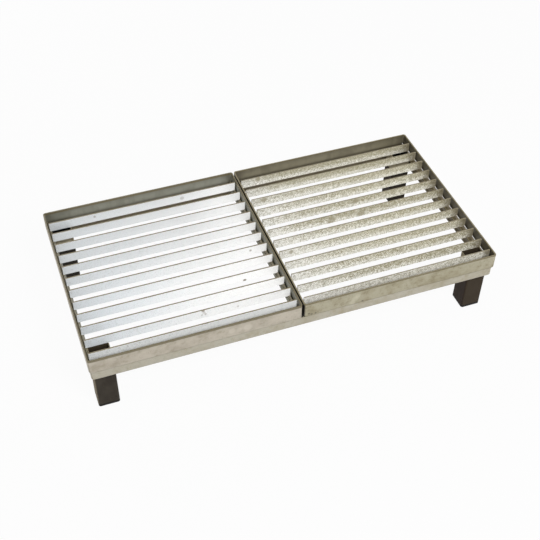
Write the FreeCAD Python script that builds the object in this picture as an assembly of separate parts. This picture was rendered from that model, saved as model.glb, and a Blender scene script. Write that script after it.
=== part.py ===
import FreeCAD, Part
import os

# Entrance mat grate, millimetres, +Z up, standing on a level floor at z = 0.
# Two slatted grates lie side by side on a base ring of folded strip.
# Four square tube legs stand in the corners of the ring and reach up to just under the slats.

# Whole object
overall_length = 800.0      # along X, over both grates
overall_depth = 408.0       # along Y
grate_gap = 3.0             # air between the two grates

# Sheet strip shared by the grate frames and the base ring
sheet = 2.5
bend_radius = 4.0           # outside radius of the fold between wall and flange
corner_radius = 5.0         # outside radius of the upright corners
flange_corner = 2.0         # corner radius of the opening inside the flange

# Grate frames
frame_height = 34.5
frame_flange = 11.0         # measured from the outer face of the wall

# Slats
slat_count = 12
slat_height = 20.0
slat_thick = 3.0
slat_front_margin = 18.5    # outer face of the frame to the middle of the first slat
slat_back_margin = 34.2     # middle of the last slat to the outer face of the frame
slat_end_air = 3.3          # end of a slat to the frame wall

# Bearer strips, which stand on the end flanges and carry the slats level with the rim
bearer_thick = 2.0
bearer_air = 0.5            # air between a bearer and the legs, and between its ends and the folds

# Base ring
ring_inset = 2.5            # the grates overhang the ring by this much
ring_height = 21.5
ring_lip = 5.0              # lower edge turned inwards, measured from the outer face of the ring

# Legs and end caps
leg_size = 40.0
leg_wall = 2.0
leg_corner = 4.0            # outside corner radius of the tube
leg_fit = 0.5               # air between a leg and the grate flanges around its top
leg_top_air = 0.5           # air between the top of a leg and the slats above it
leg_free = 87.0             # floor to the underside of the ring
cap_plate = 5.0
cap_plug = 12.0             # height of the plug inside the tube
cap_fit = 0.25              # air between plug and tube
cap_wall = 2.5

# Levels and plan positions that follow from the sizes above
ring_top = leg_free + ring_height
flange_top = ring_top + sheet
slat_bottom = ring_top + frame_height - slat_height
leg_top = slat_bottom - leg_top_air
leg_end_inset = ring_inset + ring_lip
leg_side_inset = frame_flange + leg_fit
leg_x = overall_length / 2.0 - leg_end_inset - leg_size / 2.0
leg_y = overall_depth / 2.0 - leg_side_inset - leg_size / 2.0
bearer_inset = leg_end_inset - bearer_air - bearer_thick / 2.0
grate_length = (overall_length - grate_gap) / 2.0
grate_x = (grate_length + grate_gap) / 2.0
slat_pitch = (overall_depth - slat_front_margin - slat_back_margin) / (slat_count - 1)

os.makedirs("parts", exist_ok=True)


def upright_edges(solid):
    """Edges that run straight up."""
    found = []
    for edge in solid.Edges:
        box = edge.BoundBox
        if box.XLength < 1e-6 and box.YLength < 1e-6:
            found.append(edge)
    return found


def edges_at(solid, z):
    """Edges that lie in the level plane z."""
    found = []
    for edge in solid.Edges:
        box = edge.BoundBox
        if abs(box.ZMin - z) < 1e-6 and abs(box.ZMax - z) < 1e-6:
            found.append(edge)
    return found


def rounded_block(length, depth, height, radius, x, y, z):
    """Block centred on x and y, standing on z, with rounded upright corners."""
    corner = FreeCAD.Vector(x - length / 2.0, y - depth / 2.0, z)
    block = Part.makeBox(length, depth, height, corner)
    return block.makeFillet(radius, upright_edges(block))


def folded_frame(length, depth, height, flange, x, z):
    """Upright wall of folded sheet with a flange turned inwards along its lower edge."""
    outside = rounded_block(length, depth, height, corner_radius, x, 0.0, z)
    outside = outside.makeFillet(bend_radius, edges_at(outside, z))
    room = rounded_block(length - 2.0 * sheet, depth - 2.0 * sheet, height,
                         corner_radius - sheet, x, 0.0, z + sheet)
    room = room.makeFillet(bend_radius - sheet, edges_at(room, z + sheet))
    opening = rounded_block(length - 2.0 * flange, depth - 2.0 * flange, height,
                            flange_corner, x, 0.0, z - height / 2.0)
    return outside.cut(room).cut(opening)


def leg_notch(x, y):
    """Room around the top of a leg, taken out of the end flange beside it."""
    width = leg_size + 2.0 * leg_fit
    return rounded_block(width, width, frame_height / 2.0, leg_corner, x, y, ring_top - sheet)


def slat(x, y):
    """Flat bar on edge, level with the rim and standing on the two bearers."""
    length = grate_length - 2.0 * (sheet + slat_end_air)
    corner = FreeCAD.Vector(x - length / 2.0, y - slat_thick / 2.0, slat_bottom)
    return Part.makeBox(length, slat_thick, slat_height, corner)


def bearer(x):
    """Narrow strip on edge, standing on an end flange from front to back."""
    length = overall_depth - 2.0 * (bend_radius + bearer_air)
    corner = FreeCAD.Vector(x - bearer_thick / 2.0, -length / 2.0, flange_top)
    return Part.makeBox(bearer_thick, length, slat_bottom - flange_top, corner)


def leg(x, y):
    """Square tube from the end cap up to just under the slats."""
    length = leg_top - cap_plate
    bore = leg_size - 2.0 * leg_wall
    outside = rounded_block(leg_size, leg_size, length, leg_corner, x, y, cap_plate)
    inside = rounded_block(bore, bore, 2.0 * length, leg_corner - leg_wall, x, y, cap_plate - length / 2.0)
    return outside.cut(inside)


def end_cap(x, y):
    """Cap over the lower end of a leg, with a hollow plug pushed into the tube."""
    plug = leg_size - 2.0 * (leg_wall + cap_fit)
    hollow = plug - 2.0 * cap_wall
    plate = rounded_block(leg_size, leg_size, cap_plate, leg_corner, x, y, 0.0)
    outside = rounded_block(plug, plug, cap_plug + cap_plate / 2.0, leg_corner - leg_wall, x, y, cap_plate / 2.0)
    corner = FreeCAD.Vector(x - hollow / 2.0, y - hollow / 2.0, cap_plate)
    return plate.fuse(outside).cut(Part.makeBox(hollow, hollow, 2.0 * cap_plug, corner)).removeSplitter()


# Grates
for side, x in (("left", -grate_x), ("right", grate_x)):
    outward = x / grate_x
    frame = folded_frame(grate_length, overall_depth, frame_height, frame_flange, x, ring_top)
    for sign_y in (-1, 1):
        frame = frame.cut(leg_notch(outward * leg_x, sign_y * leg_y))
    frame.exportStep("parts/%s_frame.step" % side)
    for end, sign_x in (("outer", outward), ("inner", -outward)):
        strip = bearer(x + sign_x * (grate_length / 2.0 - bearer_inset))
        strip.exportStep("parts/%s_bearer_%s.step" % (side, end))
    for number in range(slat_count):
        y = -overall_depth / 2.0 + slat_front_margin + number * slat_pitch
        slat(x, y).exportStep("parts/%s_slat_%02d.step" % (side, number + 1))

# Base ring, with the legs against the lip of its short walls
ring = folded_frame(overall_length - 2.0 * ring_inset, overall_depth - 2.0 * ring_inset,
                    ring_height, ring_lip, 0.0, leg_free)
ring.exportStep("parts/base_ring.step")

# Legs and their end caps
for row, sign_y in (("front", -1), ("back", 1)):
    for side, sign_x in (("left", -1), ("right", 1)):
        leg(sign_x * leg_x, sign_y * leg_y).exportStep("parts/leg_%s_%s.step" % (row, side))
        end_cap(sign_x * leg_x, sign_y * leg_y).exportStep("parts/leg_cap_%s_%s.step" % (row, side))
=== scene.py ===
# %% [markdown]
# # A weathered entrance grate
# The object is a free-standing entrance grate: two slatted grates of galvanised steel lie side by
# side on a ring of folded strip, and the ring stands on four square legs with plastic end caps.
# All of the big shapes come from the imported CAD model, which is loaded first and never moved.
# The box of that model is kept; it gives the level of the rim and the length of the seam dirt.

# %% Load the CAD model
import math
import random
import bmesh
import bpy
from mathutils import Matrix, Vector


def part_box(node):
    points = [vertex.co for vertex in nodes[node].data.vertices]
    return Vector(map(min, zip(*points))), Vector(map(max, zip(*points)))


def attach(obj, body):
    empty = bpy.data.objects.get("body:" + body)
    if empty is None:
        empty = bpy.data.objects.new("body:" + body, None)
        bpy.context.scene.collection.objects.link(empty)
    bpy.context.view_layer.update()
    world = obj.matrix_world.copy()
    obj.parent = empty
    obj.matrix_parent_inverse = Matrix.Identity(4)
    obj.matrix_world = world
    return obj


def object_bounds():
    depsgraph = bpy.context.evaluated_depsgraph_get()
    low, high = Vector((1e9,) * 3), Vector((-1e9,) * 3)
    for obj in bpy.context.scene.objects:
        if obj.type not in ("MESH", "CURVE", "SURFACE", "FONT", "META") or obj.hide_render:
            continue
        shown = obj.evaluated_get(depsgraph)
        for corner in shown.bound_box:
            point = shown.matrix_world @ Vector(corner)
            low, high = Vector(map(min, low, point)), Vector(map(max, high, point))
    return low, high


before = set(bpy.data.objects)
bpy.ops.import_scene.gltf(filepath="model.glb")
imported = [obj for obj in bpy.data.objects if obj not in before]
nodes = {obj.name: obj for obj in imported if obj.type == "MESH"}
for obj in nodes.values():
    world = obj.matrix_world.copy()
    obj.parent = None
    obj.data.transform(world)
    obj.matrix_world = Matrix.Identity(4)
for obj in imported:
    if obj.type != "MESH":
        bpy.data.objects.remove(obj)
cad_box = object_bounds()
print("pieces from the CAD model:", len(nodes))

# %% [markdown]
# ## Where the camera stands
# A photograph can be matched by eye, or the camera can be worked out from the corners of the rim,
# whose true size is known. The second way was used here, which gives the direction, the lens and
# a slight roll. The three axes of the camera are built from those angles and put into one matrix.

# %% Camera
AZIMUTH = math.radians(-20.79)
ELEVATION = math.radians(44.80)
ROLL = math.radians(0.97)
FOCAL_LENGTH = 64.39
SENSOR_WIDTH = 36.0
RIM_LEVEL = cad_box[1][2]
STANDPOINT = Vector((-0.4857, -1.3064, 1.2844 + RIM_LEVEL))

backward = Vector((math.sin(AZIMUTH) * math.cos(ELEVATION),
                   -math.cos(AZIMUTH) * math.cos(ELEVATION), math.sin(ELEVATION)))
level_right = Vector((0, 0, 1)).cross(backward).normalized()
level_up = backward.cross(level_right)
right = math.cos(ROLL) * level_right + math.sin(ROLL) * level_up
up = math.cos(ROLL) * level_up - math.sin(ROLL) * level_right
turn = Matrix((right, up, backward)).transposed()

lens = bpy.data.cameras.new("photo_camera")
lens.lens = FOCAL_LENGTH
lens.sensor_width = SENSOR_WIDTH
camera = bpy.data.objects.new("photo_camera", lens)
camera.matrix_world = Matrix.Translation(STANDPOINT) @ turn.to_4x4()
bpy.context.collection.objects.link(camera)
bpy.context.scene.camera = camera
print("camera at", [round(value, 3) for value in STANDPOINT])

# %% [markdown]
# ## Edges that catch the light
# No edge of a real bar or tube is perfectly sharp, and a thin bright line along it tells the eye
# that it is metal. The edges could be rounded in the CAD model, but that would add many small
# faces there. A Bevel modifier does it here without touching the mesh. A Weld modifier goes first,
# because the file keeps the corners of neighbouring faces apart and a bevel needs them joined.

# %% Soft edges
JOIN_WITHIN = 1e-6
EDGE_ROUND = 0.0004
EDGE_STEPS = 2
SHARP_EDGE = math.radians(50.0)


def soften(piece):
    """Round the sharp edges of a piece by a few tenths of a millimetre."""
    join = piece.modifiers.new("joined_corners", "WELD")
    join.merge_threshold = JOIN_WITHIN
    rounding = piece.modifiers.new("soft_edges", "BEVEL")
    rounding.width = EDGE_ROUND
    rounding.segments = EDGE_STEPS
    rounding.limit_method = "ANGLE"
    rounding.angle_limit = SHARP_EDGE


for piece in nodes.values():
    soften(piece)
print("pieces with soft edges:", len(nodes))

# %% [markdown]
# ## Writing finishes as sums
# A finish is a tree of shader nodes. Wiring each one by hand hides what the finish does, so a
# small class stands for one output of a node, and adding or multiplying such wires adds the Math
# node that does it. Every other kind of node is made by one method of the tree, which takes the
# type of the node, its settings and what goes into its sockets.

# %% Wires
class Wire:
    """One output of a node; sums with it become Math nodes."""

    def __init__(self, tree, socket):
        self.tree = tree
        self.socket = socket

    def other(self, name):
        """Another output of the same node."""
        return Wire(self.tree, self.socket.node.outputs[name])

    def sum_of(self, operation, *values):
        return self.tree.node("ShaderNodeMath", {"operation": operation}, dict(enumerate(values)))

    def __add__(self, other):
        return self.sum_of("ADD", self, other)

    def __radd__(self, other):
        return self.sum_of("ADD", other, self)

    def __sub__(self, other):
        return self.sum_of("SUBTRACT", self, other)

    def __rsub__(self, other):
        return self.sum_of("SUBTRACT", other, self)

    def __mul__(self, other):
        return self.sum_of("MULTIPLY", self, other)

    def __rmul__(self, other):
        return self.sum_of("MULTIPLY", other, self)

    def __abs__(self):
        return self.sum_of("ABSOLUTE", self)

    def smaller(self, other):
        return self.sum_of("MINIMUM", self, other)

    def larger(self, other):
        return self.sum_of("MAXIMUM", self, other)


print("wires can be added, subtracted, multiplied and compared")

# %% Trees
class Tree:
    """The nodes of one material, or of the world."""

    def __init__(self, owner):
        owner.use_nodes = True
        self.owner = owner
        self.nodes = owner.node_tree.nodes
        self.links = owner.node_tree.links
        self.nodes.clear()

    def node(self, kind, settings, sockets, out=0):
        """Add a node: its settings first, then a value or a wire for each socket."""
        made = self.nodes.new(kind)
        for name, value in settings.items():
            setattr(made, name, value)
        for name, value in sockets.items():
            if isinstance(value, Wire):
                self.links.new(value.socket, made.inputs[name])
            else:
                made.inputs[name].default_value = value
        return Wire(self, made.outputs[out]) if made.outputs else None

    def ramp(self, value, low, high):
        """0 at low, 1 at high, and a soft step between."""
        return self.node("ShaderNodeMapRange", {"interpolation_type": "SMOOTHSTEP"},
                         {"Value": value, "From Min": low, "From Max": high})

    def seen_directly(self):
        """1 for rays from the camera, from a reflection or through something clear."""
        camera_ray = self.node("ShaderNodeLightPath", {}, {}, out="Is Camera Ray")
        glossy_ray = camera_ray.other("Is Glossy Ray")
        clear_ray = camera_ray.other("Is Transmission Ray")
        return self.ramp(camera_ray + glossy_ray + clear_ray, 0.0, 1.0)


print("a tree adds nodes, soft steps and a mask for what is seen directly")

# %% [markdown]
# ## What every finish needs
# A finish asks where a point lies and which way the surface faces there, lays noise over it and
# blends colours. Noise that is stretched along one axis gives streaks, and even noise gives specks
# and clouds. All of it goes by the place on the object, so it stays put from every side. In the
# sums below, noise less 0.5 swings around nothing, so it makes the border of a mask ragged, and a
# number that multiplies a mask says how much of the new colour shows.

# %% Finishes
SPOT_CORE = 0.4


class Finish(Tree):
    """One material around a Principled shader."""

    def __init__(self, name):
        super().__init__(bpy.data.materials.new(name))
        self.place = self.node("ShaderNodeTexCoord", {}, {}, out="Object")
        self.x, self.y, self.z = self.axes(self.place)
        facing = self.axes(self.node("ShaderNodeNewGeometry", {}, {}, out="Normal"))
        self.facing_x = facing[0]
        self.facing_z = facing[2]

    def axes(self, vector):
        """The three numbers of a vector as wires."""
        first = self.node("ShaderNodeSeparateXYZ", {}, {0: vector}, out="X")
        return first, first.other("Y"), first.other("Z")

    def noise(self, per_metre, detail=3.0, rough=0.55):
        """Noise with so many waves in a metre along each axis."""
        spread = self.node("ShaderNodeVectorMath", {"operation": "MULTIPLY"}, {0: self.place, 1: per_metre})
        return self.node("ShaderNodeTexNoise", {},
                         {"Vector": spread, "Scale": 1.0, "Detail": detail, "Roughness": rough})

    def spot(self, centre, radius):
        """1 in the middle of a round spot, 0 outside it."""
        away = self.node("ShaderNodeVectorMath", {"operation": "DISTANCE"},
                         {0: self.place, 1: centre}, out="Value")
        return self.ramp(away, radius, SPOT_CORE * radius)

    def blend(self, mask, first, second):
        """The first colour where the mask is 0, the second where it is 1."""
        return self.node("ShaderNodeMix", {"data_type": "RGBA"}, {0: mask, 6: first, 7: second}, out=2)

    def bump(self, height, strength, depth):
        return self.node("ShaderNodeBump", {}, {"Strength": strength, "Distance": depth, "Height": height})

    def show(self, sockets):
        """Close the tree with a Principled shader that has these values and wires."""
        shader = self.node("ShaderNodeBsdfPrincipled", {}, sockets)
        self.node("ShaderNodeOutputMaterial", {}, {"Surface": shader})
        return self.owner


print("a finish adds places, noise, spots, blends and bumps")

# %% Colours and pieces
def tone(red, green, blue):
    """A colour as a screen shows it, 0 to 255, turned into the light that Blender counts in."""
    def light(value):
        value /= 255.0
        return value / 12.92 if value <= 0.04045 else ((value + 0.055) / 1.055) ** 2.4
    return (light(red), light(green), light(blue), 1.0)


def give(material, start):
    """Put a material on all CAD pieces whose names start like this."""
    chosen = [piece for name, piece in nodes.items() if name.startswith(start)]
    for piece in chosen:
        piece.material_slots[0].material = material
    print(material.name, "on", len(chosen), "pieces")


print("middle grey of a screen as light:", round(tone(128, 128, 128)[0], 3))

# %% [markdown]
# ## Bright zinc on the left slats
# The slats are flat bars with a zinc skin. On the left grate it is bright, with fine streaks along
# the bar, as rolling leaves them, and small specks. The bars are lighter on the first slat, as
# painted light, lighter towards the middle of the object, as a painted sheen, and darker towards the
# back, as painted shade. The upper edge of each is darkened as painted shade, and a few rust spots
# sit where they were seen. An image would do this too, but noise needs no file.
# Two masks serve the right slats as well: the first slat of a grate, and the upper edge.

# %% Slat masks
SLAT_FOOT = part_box("left_slat_01")[0][2]
SLAT_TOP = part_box("left_slat_01")[1][2]
BEHIND_FIRST_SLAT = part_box("left_slat_01")[1][1] + 0.015
SLAT_GAP_FADE = 0.01
UPPER_EDGE_LOW = SLAT_TOP - 0.002
UPPER_EDGE_HIGH = SLAT_TOP - 0.001


def first_slat(finish):
    """1 on the first slat of a grate, 0 on the others."""
    return finish.ramp(finish.y, BEHIND_FIRST_SLAT, BEHIND_FIRST_SLAT - SLAT_GAP_FADE)


def upper_edge(finish):
    """1 on the narrow upper edge of a slat."""
    looks_up = finish.ramp(finish.facing_z, 0.35, 0.8)
    return looks_up * finish.ramp(finish.z, UPPER_EDGE_LOW, UPPER_EDGE_HIGH)


print("slats stand from", round(SLAT_FOOT, 4), "to", round(SLAT_TOP, 4), "m")

# %% Bright slats
ALONG_STREAK = (2.5, 60.0, 170.0)
ALONG_GRAIN = (9.0, 260.0, 900.0)
SLAT_CLOUD = (38.0, 60.0, 60.0)
FINE_SPECK = (500.0, 500.0, 500.0)
LEFT_RUST = (((-0.0748, -0.0901, 0.1250), 0.0046, 0.8), ((-0.0405, -0.0255, 0.1337), 0.0036, 0.55),
             ((-0.1100, -0.1547, 0.1308), 0.0034, 0.35), ((-0.1765, -0.1547, 0.1420), 0.0045, 0.7),
             ((-0.1750, -0.1547, 0.1365), 0.0040, 0.3), ((-0.1722, -0.1547, 0.1322), 0.0030, 0.35),
             ((-0.1790, -0.1547, 0.1318), 0.0030, 0.25), ((-0.1216, 0.1683, 0.1333), 0.0060, 0.35),
             ((-0.3032, 0.1683, 0.1360), 0.0036, 0.45))
OUTER_ZINC = tone(226, 231, 235)
MIDDLE_SHEEN_ZINC = tone(252, 252, 251)
BACK_SHADE_ZINC = tone(209, 211, 212)
FRONT_SLAT_LIGHT_ZINC = tone(250, 252, 253)
CLOUD_ZINC = tone(204, 208, 208)
GRAIN_ZINC = tone(196, 200, 200)
SPECK_ZINC = tone(190, 192, 190)
RUST = tone(120, 108, 86)
UPPER_EDGE_SHADE = tone(97, 84, 50)

bright = Finish("bright_zinc")
streak = bright.noise(ALONG_STREAK, detail=4.0)
grain = bright.noise(ALONG_GRAIN, detail=2.0)
cloud = bright.noise(SLAT_CLOUD, detail=4.0, rough=0.65)
specks = bright.noise(FINE_SPECK, detail=3.0, rough=0.6)

# painted sheen: the bars grow lighter towards the middle of the object
middle_sheen = bright.ramp(bright.x + 0.08 * (streak - 0.5), -0.395, -0.10)
skin = bright.blend(middle_sheen, OUTER_ZINC, MIDDLE_SHEEN_ZINC)
# painted shade: the bars grow darker towards the back, less so at the end by the seam
less_back_shade = bright.ramp(bright.x, -0.14, -0.03)
back_shade = bright.ramp(bright.y, -0.13, 0.08) * (1.0 - 0.7 * less_back_shade)
skin = bright.blend(back_shade * 0.6, skin, BACK_SHADE_ZINC)
# painted light: the first slat is lighter
skin = bright.blend(first_slat(bright) * 0.85, skin, FRONT_SLAT_LIGHT_ZINC)
clouded = bright.ramp(cloud + 0.35 * (streak - 0.5), 0.58, 0.86)
skin = bright.blend(clouded * 0.6, skin, CLOUD_ZINC)
skin = bright.blend(bright.ramp(grain, 0.56, 0.80) * 0.25, skin, GRAIN_ZINC)
sparkle = bright.ramp(specks, 0.52, 0.66) * (0.6 - 0.35 * middle_sheen)
skin = bright.blend(sparkle, skin, SPECK_ZINC)
for centre, radius, share in LEFT_RUST:
    rusty = bright.spot(centre, radius) * share * (0.4 + 1.2 * cloud)
    skin = bright.blend(rusty, skin, RUST)
# painted shade: the upper edge of each slat is darkened
skin = bright.blend(upper_edge(bright) * (0.95 + 0.3 * (cloud - 0.5)), skin, UPPER_EDGE_SHADE)
bright_zinc = bright.show({
    "Base Color": skin, "Metallic": 0.15, "Roughness": 0.45 + 0.22 * (streak - 0.5) + 0.1 * cloud,
    "Normal": bright.bump(grain + 0.6 * cloud + 0.5 * specks, 0.25, 0.0004)})
give(bright_zinc, "left_slat")

# %% [markdown]
# ## Dull zinc on the right slats
# The right grate looks more weathered. Its zinc is beige and covered with dark specks like oxide,
# so that the bars look almost like stone. Some bars are darker than others. The first one is
# lighter, as painted light, and the bars are paler near the seam and darker towards the right wall,
# as a painted sheen. The lower half of a bar is paler, as a painted sheen, and the upper half darker.
# The ends at the right wall are darkened brown as painted shade, and a few stains sit where they
# were seen. The specks are two layers of noise, one fine and one coarse, because a single one
# looks printed.
# The tones come first, and the specks are laid over them.

# %% Dull slats, tones
COARSE_SPECK = (190.0, 190.0, 190.0)
DARK_BARS = ((2, 0.35), (7, 0.7), (8, 0.3), (11, 0.6), (12, 0.75))
BAR_REACH = 0.012
LOWER_SHEEN_TOP = SLAT_FOOT + 0.013
LOWER_SHEEN_FOOT = SLAT_FOOT + 0.005
SEAM_SHEEN_BEIGE = tone(236, 235, 228)
WALL_BEIGE = tone(212, 207, 184)
DARK_BEIGE = tone(178, 173, 150)
FRONT_SLAT_LIGHT_BEIGE = tone(250, 248, 240)
SEAM_SHEEN_PALE = tone(252, 251, 247)
UPPER_HALF_BEIGE = tone(180, 173, 147)
LOWER_SHEEN_BEIGE = tone(243, 242, 236)
CLOUD_BEIGE = tone(184, 178, 152)

dull = Finish("dull_zinc")
streak = dull.noise(ALONG_STREAK, detail=4.0)
cloud = dull.noise(SLAT_CLOUD, detail=4.0, rough=0.65)
specks = dull.noise(FINE_SPECK, detail=4.0, rough=0.75)
coarse = dull.noise(COARSE_SPECK, detail=4.0, rough=0.75)

# painted sheen: paler towards the seam, darker towards the right wall
from_middle = dull.ramp(dull.x + 0.10 * (streak - 0.5), 0.0, 0.30)
skin = dull.blend(from_middle, SEAM_SHEEN_BEIGE, WALL_BEIGE)
for number, share in DARK_BARS:
    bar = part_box("right_slat_%02d" % number)
    on_bar = dull.ramp(abs(dull.y - (bar[0][1] + bar[1][1]) / 2.0), BAR_REACH, 0.5 * BAR_REACH)
    skin = dull.blend(on_bar * share * dull.ramp(dull.x, 0.0, 0.10), skin, DARK_BEIGE)
# painted light: the first slat is lighter
front_row = first_slat(dull)
skin = dull.blend(front_row * 0.7, skin, FRONT_SLAT_LIGHT_BEIGE)
# painted sheen: the ends by the seam are paler
near_seam = dull.ramp(dull.x + 0.06 * (cloud - 0.5), 0.12, 0.01) * dull.ramp(dull.y, 0.16, -0.08)
skin = dull.blend(near_seam * 0.7, skin, SEAM_SHEEN_PALE)
# painted sheen: the lower half of a bar is paler; the upper half is darker
ragged_height = dull.z + 0.010 * (coarse - 0.5) + 0.006 * (cloud - 0.5)
lower_sheen = dull.ramp(ragged_height, LOWER_SHEEN_TOP, LOWER_SHEEN_FOOT)
darker_upper_half = (1.0 - lower_sheen) * (1.0 - front_row) * dull.ramp(dull.x, 0.0, 0.12)
skin = dull.blend(darker_upper_half * 0.4, skin, UPPER_HALF_BEIGE)
skin = dull.blend(lower_sheen * (0.9 - 0.35 * from_middle), skin, LOWER_SHEEN_BEIGE)
skin = dull.blend(dull.ramp(cloud, 0.52, 0.80) * 0.5, skin, CLOUD_BEIGE)
print("bars with a darker tone:", [number for number, share in DARK_BARS])

# %% Dull slats, specks and stains
RIGHT_STAINS = (((0.0339, 0.1037, 0.1372), 0.0090), ((0.1424, 0.0068, 0.1288), 0.0120),
                ((0.2082, 0.0068, 0.1310), 0.0125), ((0.2099, 0.0391, 0.1364), 0.0100),
                ((0.0439, 0.1683, 0.1392), 0.0080), ((0.0312, -0.0578, 0.1361), 0.0065))
OXIDE = tone(140, 133, 106)
PALE_SPECK = tone(250, 249, 242)
STAIN = tone(150, 142, 116)
WALL_SHADE_BROWN = tone(108, 99, 77)
DULL_UPPER_EDGE_SHADE = tone(112, 103, 80)

towards_front = dull.ramp(dull.y, 0.08, -0.16)
oxide = dull.ramp(specks + 0.45 * (coarse - 0.5), 0.475, 0.565)
oxide = oxide * (0.85 + 0.15 * towards_front - 0.2 * lower_sheen)
oxide = oxide * (1.0 - 0.3 * front_row) * (1.0 - 0.3 * near_seam)
skin = dull.blend(oxide, skin, OXIDE)
pale_specks = dull.ramp(specks + 0.5 * (coarse - 0.5), 0.46, 0.37) * (0.5 + 0.3 * towards_front)
skin = dull.blend(pale_specks, skin, PALE_SPECK)
for centre, radius in RIGHT_STAINS:
    skin = dull.blend(dull.spot(centre, radius) * (0.5 + 0.5 * cloud), skin, STAIN)
# painted shade: the slat ends by the right wall are darkened brown
right_wall_shade = dull.ramp(dull.x + 0.024 * (coarse - 0.5) + 0.016 * (cloud - 0.5), 0.368, 0.392)
skin = dull.blend(right_wall_shade * 0.85, skin, WALL_SHADE_BROWN)
# painted shade: the upper edge of each slat is darkened
skin = dull.blend(upper_edge(dull) * (0.9 + 0.3 * (cloud - 0.5)), skin, DULL_UPPER_EDGE_SHADE)
dull_zinc = dull.show({
    "Base Color": skin, "Metallic": 0.12, "Roughness": 0.5 + 0.2 * (coarse - 0.5),
    "Normal": dull.bump(coarse + 0.7 * specks, 0.3, 0.0005)})
give(dull_zinc, "right_slat")

# %% [markdown]
# ## Zinc on the frames and the ring
# The frames are strips with the same zinc skin, and so is the ring. One finish could be painted
# face by face, but then each face would have to be picked by hand. Here the finish works out how
# deep a point lies inside the box of its strip. A point deeper than the middle of the sheet is on
# the inner side of the wall, so one finish serves the whole strip.

# %% Where a point of a strip lies
STRIP_CLOUD = (26.0, 26.0, 34.0)
MOTTLE = (95.0, 95.0, 95.0)
RUN_DOWN = (60.0, 60.0, 12.0)
SHEET = 0.0025
INNER_FADE = 0.0003


class Strip(Finish):
    """The zinc skin of a strip that is bent into a ring and fills the given box."""

    def __init__(self, name, box):
        super().__init__(name)
        self.low, self.high = box
        self.from_side = self.depth(self.x, 0)
        self.from_front = self.depth(self.y, 1)
        nearest = self.from_side.smaller(self.from_front)
        self.inner = self.ramp(nearest, -INNER_FADE, INNER_FADE)
        self.cloud = self.noise(STRIP_CLOUD, detail=4.0, rough=0.6)
        self.mottle = self.noise(MOTTLE, detail=4.0, rough=0.65)
        self.specks = self.noise(FINE_SPECK, detail=2.0)

    def depth(self, place, axis):
        """How far a point lies behind the middle of the sheet, along one axis."""
        low = self.low[axis]
        high = self.high[axis]
        return (high - low - SHEET) / 2.0 - abs(place - (high + low) / 2.0)


print("sheet of the strips:", SHEET, "m")

# %% [markdown]
# Outside, the walls are mottled tan, with fine specks and a few dark and pale marks on the front.
# The fold at the foot of the wall is a little darker, as painted shade. A mark is a soft round
# spot that the mottling breaks up.

# %% Outer side of a strip
DARK_MARK = tone(70, 64, 49)
PALE_MARK = tone(192, 187, 166)
BRIGHT_MARK = tone(206, 200, 186)
LEFT_MARKS = (((-0.1382, 0.1253), 0.0090, 0.45, BRIGHT_MARK),
              ((-0.1240, 0.1240), 0.0080, 0.3, BRIGHT_MARK),
              ((-0.1078, 0.1247), 0.0110, 0.5, BRIGHT_MARK),
              ((-0.0770, 0.1240), 0.0150, 0.10, DARK_MARK))
RIGHT_MARKS = (((0.0111, 0.1170), 0.0030, 0.7, DARK_MARK), ((0.0165, 0.1145), 0.0034, 0.7, DARK_MARK),
               ((0.0245, 0.1145), 0.0026, 0.7, DARK_MARK), ((0.1193, 0.1140), 0.0030, 0.7, DARK_MARK),
               ((0.0985, 0.1165), 0.0080, 0.5, PALE_MARK), ((0.1030, 0.1240), 0.0090, 0.5, PALE_MARK),
               ((0.1085, 0.1310), 0.0080, 0.5, PALE_MARK))
FOLD_TOP = 0.0050
FOLD_FOOT = 0.0010


def outer_side(zinc, tones, marks):
    """The mottled colour of the outer side of a strip."""
    clouded = zinc.ramp(zinc.cloud + 0.4 * (zinc.mottle - 0.5), 0.34, 0.66)
    skin = zinc.blend(clouded, tones["outside"], tones["tan"])
    patchy = zinc.ramp(zinc.mottle + 0.7 * (zinc.cloud - 0.5), 0.52, 0.78)
    skin = zinc.blend(patchy * 0.5, skin, tones["patch"])
    speckled = zinc.ramp(zinc.specks + 0.5 * (zinc.mottle - 0.5), 0.55, 0.72)
    skin = zinc.blend(speckled * 0.5, skin, tones["patch"])
    for (x, z), radius, share, colour in marks:
        marked = zinc.spot((x, zinc.low[1], z), radius) * share
        skin = zinc.blend(marked * (0.3 + 1.4 * zinc.mottle), skin, colour)
    foot = zinc.low[2]
    # painted shade: the fold at the foot of the wall is darkened
    fold_shade = zinc.ramp(zinc.z + 0.003 * (zinc.mottle - 0.5), foot + FOLD_TOP, foot + FOLD_FOOT)
    return zinc.blend(fold_shade * 0.22, skin, tones["dark"])


print("marks on the front walls:", len(LEFT_MARKS), "left,", len(RIGHT_MARKS), "right")

# %% [markdown]
# Inside, the walls are stained in runs, and darker near the rim, in the corners and at the foot.
# The side walls are painted darker as shade, those of the right grate more than those of the left
# one. The flange at the foot is a small shelf that faces up, and it is lighter again, as painted light.

# %% Inner side of a strip
RIM_BAND = 0.013
CORNER_FAR = 0.026
CORNER_NEAR = 0.006
SHELF_TOP = 0.008
SHELF_FOOT = 0.005


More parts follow.
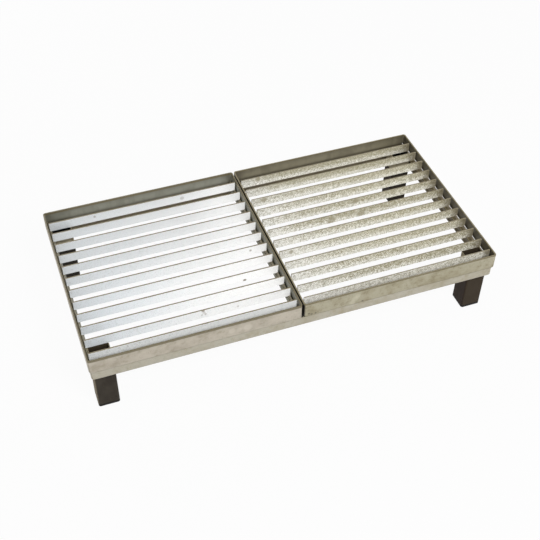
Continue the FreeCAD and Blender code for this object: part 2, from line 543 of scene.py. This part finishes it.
def inner_side(zinc, tones, side_shade, foot_dark_height):
    """The stained colour of the inner side of a strip."""
    foot = zinc.low[2]
    top = zinc.high[2]
    dark = tones["dark"]
    run_down = zinc.noise(RUN_DOWN, detail=3.0)
    stained = zinc.ramp(run_down + 1.2 * (zinc.cloud - 0.5), 0.40, 0.80)
    skin = zinc.blend(stained * 0.35, tones["inside"], dark)
    skin = zinc.blend(zinc.ramp(zinc.z, top - RIM_BAND, top) * 0.35, skin, dark)
    # painted shade: the side walls are darker
    side = zinc.ramp(abs(zinc.facing_x), 0.5, 0.9)
    skin = zinc.blend(side * side_shade, skin, dark)
    corner = zinc.ramp(zinc.from_side + 0.02 * (zinc.mottle - 0.5), CORNER_FAR, CORNER_NEAR)
    corner = corner * zinc.ramp(zinc.from_front, CORNER_FAR, CORNER_NEAR)
    skin = zinc.blend(corner * 0.6, skin, dark)
    # darker towards the foot of the inner side
    ragged_height = zinc.z + 0.004 * (zinc.mottle - 0.5)
    foot_dark = zinc.ramp(ragged_height, foot + foot_dark_height, foot + 0.6 * foot_dark_height)
    skin = zinc.blend(foot_dark * 0.85 * (1.0 - (1.0 - side_shade) * side), skin, dark)
    # painted light: the up-facing shelf is lighter
    shelf_light = zinc.ramp(zinc.facing_z, 0.5, 0.9) * zinc.ramp(zinc.z, foot + SHELF_TOP, foot + SHELF_FOOT)
    return zinc.blend(shelf_light * (0.35 + 0.5 * zinc.mottle), skin, tones["shelf_light"])


print("stained band under the rim:", RIM_BAND, "m")

# %% [markdown]
# The two sides are put together, and the faces in the seam between the grates are made nearly
# black. Last come a darker band just under the rim, which is widest on the left grate, and a darker
# rim on top, both painted shade; on the ring the band is painted shadow of the frames above it.

# %% Whole strip
SEAM_FAR = 0.0045
SEAM_NEAR = 0.0022
SEAM_TOP = 0.0010
SEAM_FULL = 0.0040
RIM_LOW = 0.0020
RIM_HIGH = 0.0005
SEAM_BLACK = tone(26, 23, 19)


def strip_zinc(name, box, tones, rim_shade_depth, side_shade, foot_dark_height, rough, marks=()):
    """The material of one strip."""
    zinc = Strip(name, box)
    top = zinc.high[2]
    skin = zinc.blend(zinc.inner, outer_side(zinc, tones, marks),
                      inner_side(zinc, tones, side_shade, foot_dark_height))
    below_rim = zinc.ramp(zinc.z, top - SEAM_TOP, top - SEAM_FULL)
    # the faces in the seam between the grates are made nearly black
    seam = zinc.ramp(abs(zinc.x), SEAM_FAR, SEAM_NEAR) * below_rim * (1.0 - zinc.inner)
    skin = zinc.blend(seam * zinc.ramp(abs(zinc.facing_x), 0.15, 0.6), skin, SEAM_BLACK)
    ragged_height = zinc.z + 0.001 * (zinc.mottle - 0.5)
    # painted shade: a darker band just under the rim
    rim_shade_band = zinc.ramp(ragged_height, top - rim_shade_depth, top - 0.6 * rim_shade_depth)
    skin = zinc.blend(rim_shade_band * 0.9, skin, tones["rim_shade"])
    # painted shade: the up-facing rim is darkened
    at_rim = zinc.ramp(zinc.facing_z, 0.35, 0.8) * zinc.ramp(zinc.z, top - RIM_LOW, top - RIM_HIGH)
    skin = zinc.blend(at_rim * (0.95 + 0.3 * (zinc.mottle - 0.5)), skin, tones["rim"])
    return zinc.show({
        "Base Color": skin, "Metallic": 0.15, "Roughness": rough + 0.25 * (zinc.mottle - 0.5),
        "Normal": zinc.bump(zinc.mottle + 0.35 * zinc.specks, 0.25, 0.0005)})


print("a seam is dark within", SEAM_FAR, "m of the middle")

# %% Left frame, right frame and ring
LEFT_TONES = {
    "outside": tone(185, 177, 162), "tan": tone(171, 162, 147), "patch": tone(150, 142, 121),
    "inside": tone(131, 131, 119), "dark": tone(88, 84, 71), "shelf_light": tone(164, 162, 150),
    "rim": tone(90, 82, 58), "rim_shade": tone(104, 95, 70)}
RIGHT_TONES = {
    "outside": tone(168, 162, 140), "tan": tone(152, 144, 119), "patch": tone(124, 115, 90),
    "inside": tone(122, 116, 96), "dark": tone(70, 64, 49), "shelf_light": tone(142, 129, 97),
    "rim": tone(116, 107, 82), "rim_shade": tone(100, 91, 66)}
RING_TONES = {
    "outside": tone(177, 172, 157), "tan": tone(168, 161, 142), "patch": tone(154, 146, 122),
    "inside": tone(118, 108, 86), "dark": tone(96, 86, 66), "shelf_light": tone(118, 108, 86),
    "rim": tone(130, 122, 100), "rim_shade": tone(150, 143, 124)}

give(strip_zinc("left_strip_zinc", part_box("left_frame"), LEFT_TONES, rim_shade_depth=0.0056,
                side_shade=0.25, foot_dark_height=0.017, rough=0.52, marks=LEFT_MARKS), "left_frame")
give(strip_zinc("right_strip_zinc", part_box("right_frame"), RIGHT_TONES, rim_shade_depth=0.0028,
                side_shade=0.85, foot_dark_height=0.017, rough=0.58, marks=RIGHT_MARKS), "right_frame")
# on the ring the band under the rim is painted shadow of the frames above it
give(strip_zinc("ring_strip_zinc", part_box("base_ring"), RING_TONES, rim_shade_depth=0.0010,
                side_shade=0.85, foot_dark_height=0.006, rough=0.55), "base_ring")

# %% [markdown]
# ## The bearers under the slat ends
# A narrow strip stands on each end flange and carries the ends of the slats. Its sides are dark,
# and lighter in the left grate and at the far right. The upper edge of the one at the far right is
# painted near white as a highlight, and shows between the slats as a pale line. The direction that
# a face looks in tells the edge from the sides.

# %% Bearer finish
BEARER_GREY = tone(92, 84, 66)
BEARER_DARK = tone(64, 57, 44)
LEFT_BEARER = tone(140, 132, 110)
FAR_BEARER = tone(146, 133, 104)
EDGE_HIGHLIGHT = tone(240, 240, 240)

bearer = Finish("bearer_strip_zinc")
grime = bearer.noise(MOTTLE, detail=4.0)
far_right = bearer.ramp(bearer.x, 0.36, 0.38)
side_tone = bearer.blend(bearer.ramp(grime, 0.35, 0.65), BEARER_GREY, BEARER_DARK)
side_tone = bearer.blend(bearer.ramp(bearer.x, 0.0, -0.002) * 0.7, side_tone, LEFT_BEARER)
side_tone = bearer.blend(far_right * 0.6, side_tone, FAR_BEARER)
# painted highlight: the upper edge of the far right bearer is near white
edge_highlight = far_right * bearer.ramp(bearer.facing_z, 0.4, 0.8)
skin = bearer.blend(edge_highlight * (0.9 + 0.3 * (grime - 0.5)), side_tone, EDGE_HIGHLIGHT)
bearer_zinc = bearer.show({
    "Base Color": skin, "Metallic": 0.2, "Roughness": 0.5 + 0.2 * (grime - 0.5),
    "Normal": bearer.bump(grime, 0.25, 0.0005)})
give(bearer_zinc, "left_bearer")
give(bearer_zinc, "right_bearer")

# %% [markdown]
# ## Legs and end caps
# The legs are square tube, painted black-brown where they show under the ring and left as dull
# galvanised steel above it. The right legs are a little browner. The back ones are a little darker
# and the side faces darker brown, as painted shade, and the outer side of the left ones is lighter
# olive. Inside, the tubes are painted dark as shade, darkest in the back legs. The caps are plain
# black plastic, a little grey from dust at the floor. A point of a leg is on its outer side if it
# lies far from the middle line of the tube.

# %% Leg finish
LEG_CLOUD = (45.0, 45.0, 30.0)
LEG_SCUFF = (240.0, 240.0, 60.0)
TUBE_WALL = 0.002
RING_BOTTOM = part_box("base_ring")[0][2]
leg_low, leg_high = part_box("leg_front_right")
leg_middle = [(leg_low[axis] + leg_high[axis]) / 2.0 for axis in range(2)]
leg_half = (leg_high[0] - leg_low[0]) / 2.0
BLACK_LIGHT = tone(61, 56, 49)
BLACK_DEEP = tone(51, 46, 40)
RIGHT_BROWN = tone(58, 48, 35)
SIDE_SHADE_BROWN = tone(46, 35, 29)
BACK_SHADE_BLACK = tone(30, 26, 21)
LEFT_OUTER_OLIVE = tone(118, 107, 86)
SCUFFED = tone(84, 76, 63)
STEEL_LIGHT = tone(142, 134, 112)
STEEL_DULL = tone(118, 110, 90)
BACK_INSIDE_SHADE = tone(20, 18, 16)
FRONT_INSIDE_SHADE = tone(64, 56, 44)

paint = Finish("leg_paint")
off_middle = abs(abs(paint.x) - leg_middle[0]).larger(abs(abs(paint.y) + leg_middle[1]))
outer = paint.ramp(off_middle, leg_half - TUBE_WALL, leg_half - 0.5 * TUBE_WALL)
cloud = paint.noise(LEG_CLOUD, detail=4.0)
scuff = paint.noise(LEG_SCUFF, detail=3.0)
black = paint.blend(paint.ramp(cloud, 0.35, 0.7), BLACK_LIGHT, BLACK_DEEP)
black = paint.blend(paint.ramp(paint.x, -0.1, 0.1) * 0.6, black, RIGHT_BROWN)
# painted shade: the side faces are darker brown
black = paint.blend(paint.ramp(abs(paint.facing_x), 0.5, 0.9) * 0.8, black, SIDE_SHADE_BROWN)
# painted shade: the back legs are darker
black = paint.blend(paint.ramp(paint.y, -0.1, 0.1) * 0.5, black, BACK_SHADE_BLACK)
# the outer side of the left legs is lighter olive
left_outer_olive_side = paint.ramp(paint.facing_x, -0.5, -0.9) * paint.ramp(paint.x, -0.1, -0.2) * outer
black = paint.blend(left_outer_olive_side * 0.85, black, LEFT_OUTER_OLIVE)
black = paint.blend(paint.ramp(scuff, 0.62, 0.78) * 0.35, black, SCUFFED)
steel = paint.blend(paint.ramp(cloud, 0.35, 0.7), STEEL_LIGHT, STEEL_DULL)
above = paint.ramp(paint.z + 0.003 * (cloud - 0.5), RING_BOTTOM - 0.001, RING_BOTTOM + 0.001)
# painted shade: the inside of the tubes is dark, darkest in the back legs
inside = paint.blend(paint.ramp(paint.y, 0.1, -0.1), BACK_INSIDE_SHADE, FRONT_INSIDE_SHADE)
leg_paint = paint.show({
    "Base Color": paint.blend(outer, inside, paint.blend(above, black, steel)),
    "Metallic": 0.2 * above, "Roughness": 0.6 + 0.2 * (scuff - 0.5),
    "Specular IOR Level": 0.08, "Normal": paint.bump(cloud + 0.4 * scuff, 0.2, 0.0005)})
give(leg_paint, "leg_front")
give(leg_paint, "leg_back")

# %% Cap finish
CAP_GRAIN = (160.0, 160.0, 160.0)
DUST_HEIGHT = 0.0012
CAP_BLACK = tone(26, 23, 20)
CAP_DUST = tone(70, 65, 58)

plastic = Finish("cap_black")
dust = plastic.noise(CAP_GRAIN, detail=4.0)
floor_dust = plastic.ramp(plastic.z + 0.002 * (dust - 0.5), DUST_HEIGHT, 0.0)
cap_black = plastic.show({
    "Base Color": plastic.blend(floor_dust * 0.5, CAP_BLACK, CAP_DUST),
    "Roughness": 0.6 + 0.2 * (dust - 0.5), "Specular IOR Level": 0.15,
    "Normal": plastic.bump(dust, 0.15, 0.0003)})
give(cap_black, "leg_cap")

# %% [markdown]
# ## Weld beads
# Slats like these are welded to their bearers, and such legs to the lip of the ring. No bead shows
# clearly in the photograph, so these are a guess and kept small. A bead could be a plain rod in the
# corner between two pieces, but a real one is a row of small overlapping lumps. So each bead is a
# chain of rings round a line, with a ripple along it and a little chance in every corner, and a
# subdivision rounds it off. The chance is seeded, so that every run gives the same beads.

# %% Shape of a bead
BEAD_SIDES = 8
BEAD_RIPPLE = 0.14
RIPPLE_PACE = 2.1
RING_SPACING = 0.6
FEWEST_RINGS = 5
BLUNT_END = 0.25
LEAST_REACH = 0.88
MOST_REACH = 1.12
chance = random.Random(7)


def add_bead(form, start, end, radius):
    """A rippled bead between two points, blunt at both ends."""
    start, end = Vector(start), Vector(end)
    along = (end - start).normalized()
    side = along.orthogonal().normalized()
    other = along.cross(side)
    length = (end - start).length
    steps = max(FEWEST_RINGS, round(length / (RING_SPACING * radius)))
    rings = []
    for step in range(steps + 1):
        share = step / steps
        from_end = min(share, 1.0 - share) * length / radius
        swell = max(BLUNT_END, math.sqrt(min(1.0, from_end)))
        swell *= 1.0 + BEAD_RIPPLE * math.cos(RIPPLE_PACE * step)
        ring = []
        for corner in range(BEAD_SIDES):
            angle = 2.0 * math.pi * corner / BEAD_SIDES
            reach = radius * swell * chance.uniform(LEAST_REACH, MOST_REACH)
            outward = math.cos(angle) * side + math.sin(angle) * other
            ring.append(form.verts.new(start.lerp(end, share) + reach * outward))
        rings.append(ring)
    for near, far in zip(rings, rings[1:]):
        for corner in range(BEAD_SIDES):
            form.faces.new((near[corner - 1], near[corner], far[corner], far[corner - 1]))
    form.faces.new(rings[0][::-1])
    form.faces.new(rings[-1])


def bead_piece(name, runs, material):
    """One piece with all the beads along the given runs."""
    form = bmesh.new()
    for start, end, radius in runs:
        add_bead(form, start, end, radius)
    bmesh.ops.recalc_face_normals(form, faces=form.faces)
    for face in form.faces:
        face.smooth = True
    data = bpy.data.meshes.new(name)
    form.to_mesh(data)
    form.free()
    data.materials.append(material)
    piece = bpy.data.objects.new(name, data)
    bpy.context.collection.objects.link(piece)
    piece.modifiers.new("rounded", "SUBSURF").levels = 1
    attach(piece, "root")


print("a bead has", BEAD_SIDES, "sides")

# %% Weld beads
SLAT_BEAD = 0.0013
SLAT_BEAD_OVERHANG = 0.0005
LEG_BEAD = 0.0016
LEG_BEAD_MARGIN = 0.005
slat_names = sorted(name for name in nodes if "_slat_" in name)
for bearer_name in sorted(name for name in nodes if "_bearer_" in name):
    grate = bearer_name.split("_")[0]
    low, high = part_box(bearer_name)
    left_end = low[0] - SLAT_BEAD_OVERHANG
    right_end = high[0] + SLAT_BEAD_OVERHANG
    runs = []
    for slat_name in slat_names:
        if slat_name.startswith(grate):
            slat_low, slat_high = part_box(slat_name)
            for y in (slat_low[1], slat_high[1]):
                runs.append(((left_end, y, high[2]), (right_end, y, high[2]), SLAT_BEAD))
    bead_piece(bearer_name + "_welds", runs, bearer_zinc)

for leg_name in sorted(name for name in nodes if name.startswith("leg_") and "cap" not in name):
    low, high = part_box(leg_name)
    x = low[0] if low[0] < 0.0 else high[0]
    front_end = (x, low[1] + LEG_BEAD_MARGIN, RING_BOTTOM)
    back_end = (x, high[1] - LEG_BEAD_MARGIN, RING_BOTTOM)
    bead_piece(leg_name + "_weld", [(front_end, back_end, LEG_BEAD)], leg_paint)

# %% [markdown]
# ## Dirt in the seam
# Between the two grates is a gap of a few millimetres. No light comes through it in the photograph,
# so its foot is taken to be packed with dirt. That is lumpy like a bead of weld, so the same
# function makes it, with a lump across each end, where the rounded corners of the frames leave
# more room.

# %% Seam dirt
DIRT_HALF = 0.0029
DIRT_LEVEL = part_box("base_ring")[1][2] + 0.0019
DIRT_END = cad_box[1][1] - 0.0042
END_LUMP = 0.0030
END_HALF = 0.0019
DRY_DIRT = tone(46, 41, 33)
DAMP_DIRT = tone(28, 25, 20)

dirt = Finish("packed_dirt")
crumbs = dirt.noise(FINE_SPECK, detail=4.0, rough=0.7)
packed_dirt = dirt.show({
    "Base Color": dirt.blend(dirt.ramp(crumbs, 0.35, 0.65), DRY_DIRT, DAMP_DIRT),
    "Roughness": 0.85 + 0.2 * (crumbs - 0.5), "Normal": dirt.bump(crumbs, 0.4, 0.0006)})
runs = [((0.0, -DIRT_END, DIRT_LEVEL), (0.0, DIRT_END, DIRT_LEVEL), DIRT_HALF)]
for y in (-DIRT_END, DIRT_END):
    runs.append(((-END_LUMP, y, DIRT_LEVEL), (END_LUMP, y, DIRT_LEVEL), END_HALF))
bead_piece("seam_dirt", runs, packed_dirt)
print("seam filled over", round(2.0 * DIRT_END, 3), "m")

# %% [markdown]
# ## Floor
# The photograph has a white ground. A white sheet under strong lamps would burn out the zinc, so
# the floor is mostly white by itself for the camera and for reflections, and otherwise an ordinary
# pale floor that takes the shadow of the object.

# %% Floor
FLOOR_HALF = 30.0
FLOOR_WHITE = 0.95
PALE_FLOOR = (0.5, 0.5, 0.5, 1.0)
WHITE = (1.0, 1.0, 1.0, 1.0)

floor_mesh = bmesh.new()
bmesh.ops.create_grid(floor_mesh, x_segments=1, y_segments=1, size=FLOOR_HALF)
floor_data = bpy.data.meshes.new("studio_floor")
floor_mesh.to_mesh(floor_data)
floor_mesh.free()
floor = bpy.data.objects.new("studio_floor", floor_data)
bpy.context.collection.objects.link(floor)

ground = Tree(bpy.data.materials.new("studio_floor"))
lit = ground.node("ShaderNodeBsdfPrincipled", {}, {
    "Base Color": PALE_FLOOR, "Roughness": 0.9, "Specular IOR Level": 0.0})
glow = ground.node("ShaderNodeEmission", {}, {"Color": WHITE, "Strength": 1.0})
mixed = ground.node("ShaderNodeMixShader", {}, {0: FLOOR_WHITE * ground.seen_directly(), 1: lit, 2: glow})
ground.node("ShaderNodeOutputMaterial", {}, {"Surface": mixed})
floor_data.materials.append(ground.owner)
print("floor laid:", 2.0 * FLOOR_HALF, "m wide")

# %% [markdown]
# ## Light
# The light is soft, as in a studio. One strong softbox stands before the object, high enough to
# shine in behind the front wall and reach the first slat. Three weaker ones behind it and at its
# sides keep those sides from going dark. The sky is white where it is seen, and faint as a lamp.

# %% Light
SKY_LIGHT = 0.15
SOFTBOX_SIZE = 1.2
AIM = Vector((0.0, 0.0, 0.1))
SOFTBOXES = (("front_softbox", (0.4, -2.0, 2.3), 86.0), ("back_softbox", (-0.5, 2.4, 1.2), 30.0),
             ("left_softbox", (-2.4, -0.2, 1.1), 20.0), ("right_softbox", (2.4, 0.2, 1.1), 20.0))

world = Tree(bpy.data.worlds.new("studio"))
sky_strength = SKY_LIGHT + (1.0 - SKY_LIGHT) * world.seen_directly()
sky = world.node("ShaderNodeBackground", {}, {"Color": WHITE, "Strength": sky_strength})
world.node("ShaderNodeOutputWorld", {}, {"Surface": sky})
bpy.context.scene.world = world.owner

for name, place, power in SOFTBOXES:
    lamp = bpy.data.lights.new(name, "AREA")
    lamp.shape = "SQUARE"
    lamp.size = SOFTBOX_SIZE
    lamp.energy = power
    holder = bpy.data.objects.new(name, lamp)
    holder.location = place
    holder.rotation_euler = (AIM - Vector(place)).to_track_quat("-Z", "Y").to_euler()
    bpy.context.collection.objects.link(holder)
bpy.context.scene.view_settings.view_transform = "Standard"
print("lamps:", len(SOFTBOXES))
